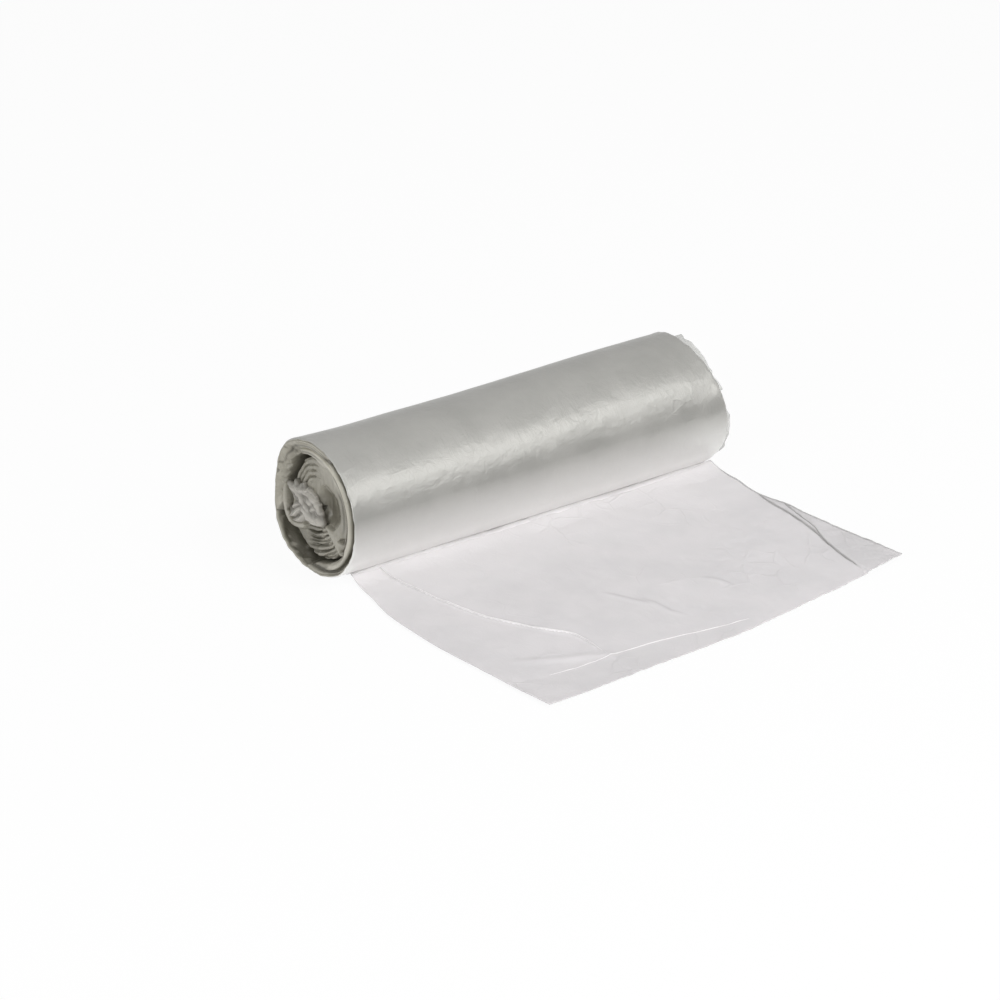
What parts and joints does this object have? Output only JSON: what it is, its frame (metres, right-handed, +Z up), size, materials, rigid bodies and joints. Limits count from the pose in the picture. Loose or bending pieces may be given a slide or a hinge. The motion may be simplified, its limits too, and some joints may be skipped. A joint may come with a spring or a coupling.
{
  "type": "bin bag roll",
  "caption": "Loose roll of thin pale translucent bin bags on no core, lying on its side with the leading bag drawn off flat in front.",
  "frame": {"origin": "middle of the narrow flat on which the soft roll rests", "axes": "+X along the roll's axis, -Y the way the leading bag is drawn off, +Z up"},
  "size_m": [0.2695, 0.2328, 0.0769],
  "materials": {
    "film": "satin translucent film, hazy and slightly wrinkled"
  },
  "bodies": {
    "root": {"bag_roll": "film"}
  },
  "joints": []
}
